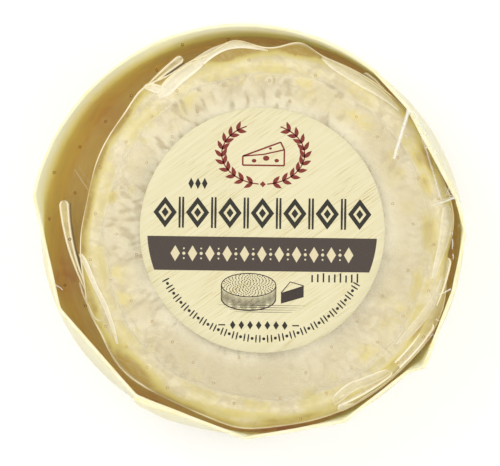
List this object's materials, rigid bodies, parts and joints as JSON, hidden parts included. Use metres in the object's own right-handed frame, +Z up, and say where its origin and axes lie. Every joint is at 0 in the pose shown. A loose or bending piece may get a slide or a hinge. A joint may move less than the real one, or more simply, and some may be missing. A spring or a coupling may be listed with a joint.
{
  "type": "cheese wheel",
  "caption": "Small round soft cheese in pleated translucent wrap, off centre in a thin round board tray under clear shrunk film, with a round paper label on top.",
  "frame": {"origin": "centre of the bounding box at its base, under the tray", "axes": "+Z up, out of the tray; +Y towards the top of the label; +X to the label's right"},
  "size_m": [0.1167, 0.1119, 0.0311],
  "materials": {
    "tray_board": "matt cream board with a faint grain and a few grease stains",
    "cheese_rind": "soft white bloomy rind, wrinkled, with yellow patches near the edge",
    "wrap_sheet": "thin translucent whitish sheet, soft sheen, bright at its folded edges",
    "film_clear": "clear glossy shrink film with pin holes and fine creases at the rim",
    "label_paper": "cream paper with a fine slanting wood-grain print, satin"
  },
  "bodies": {
    "root": {"tray": "tray_board", "cheese": "cheese_rind", "wrap": "wrap_sheet", "film": "film_clear", "label": "label_paper"}
  },
  "joints": []
}
